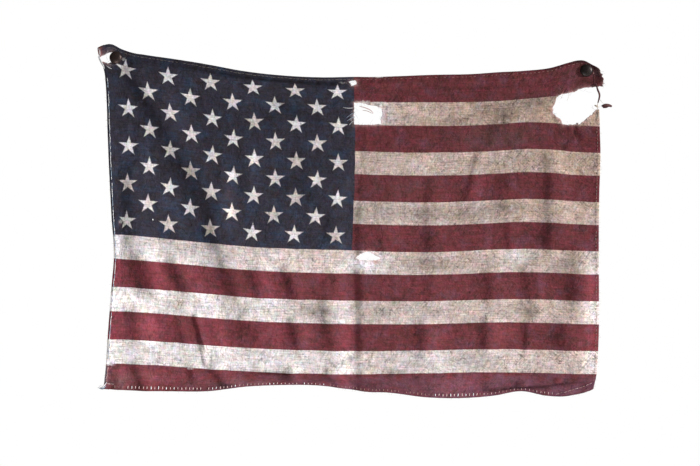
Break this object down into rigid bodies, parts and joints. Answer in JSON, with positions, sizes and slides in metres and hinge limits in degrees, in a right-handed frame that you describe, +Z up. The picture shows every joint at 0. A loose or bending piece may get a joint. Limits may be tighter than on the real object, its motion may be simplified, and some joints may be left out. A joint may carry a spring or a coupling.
{
  "type": "tattered flag hung on tacks",
  "caption": "Small printed cotton flag, worn, torn and dirty, hung open on a wall by a domed tack at each top corner.",
  "frame": {"origin": "on the wall plane behind the cloth, midway between the two tack pins", "axes": "+X to the right along the flag, +Y into the wall, +Z up"},
  "size_m": [0.4732, 0.018, 0.3306],
  "materials": {
    "printed_cotton": "thin plain-weave cotton printed with red and white stripes and a navy canton of white stars, faded, with grey and brown dirt, hems sewn in pale thread and torn edges frayed",
    "dark_bronze": "domed tack in brass darkened almost to black, with a soft highlight"
  },
  "bodies": {
    "root": {"flag_cloth": "printed_cotton", "tack_left": "dark_bronze", "tack_right": "dark_bronze"}
  },
  "joints": []
}
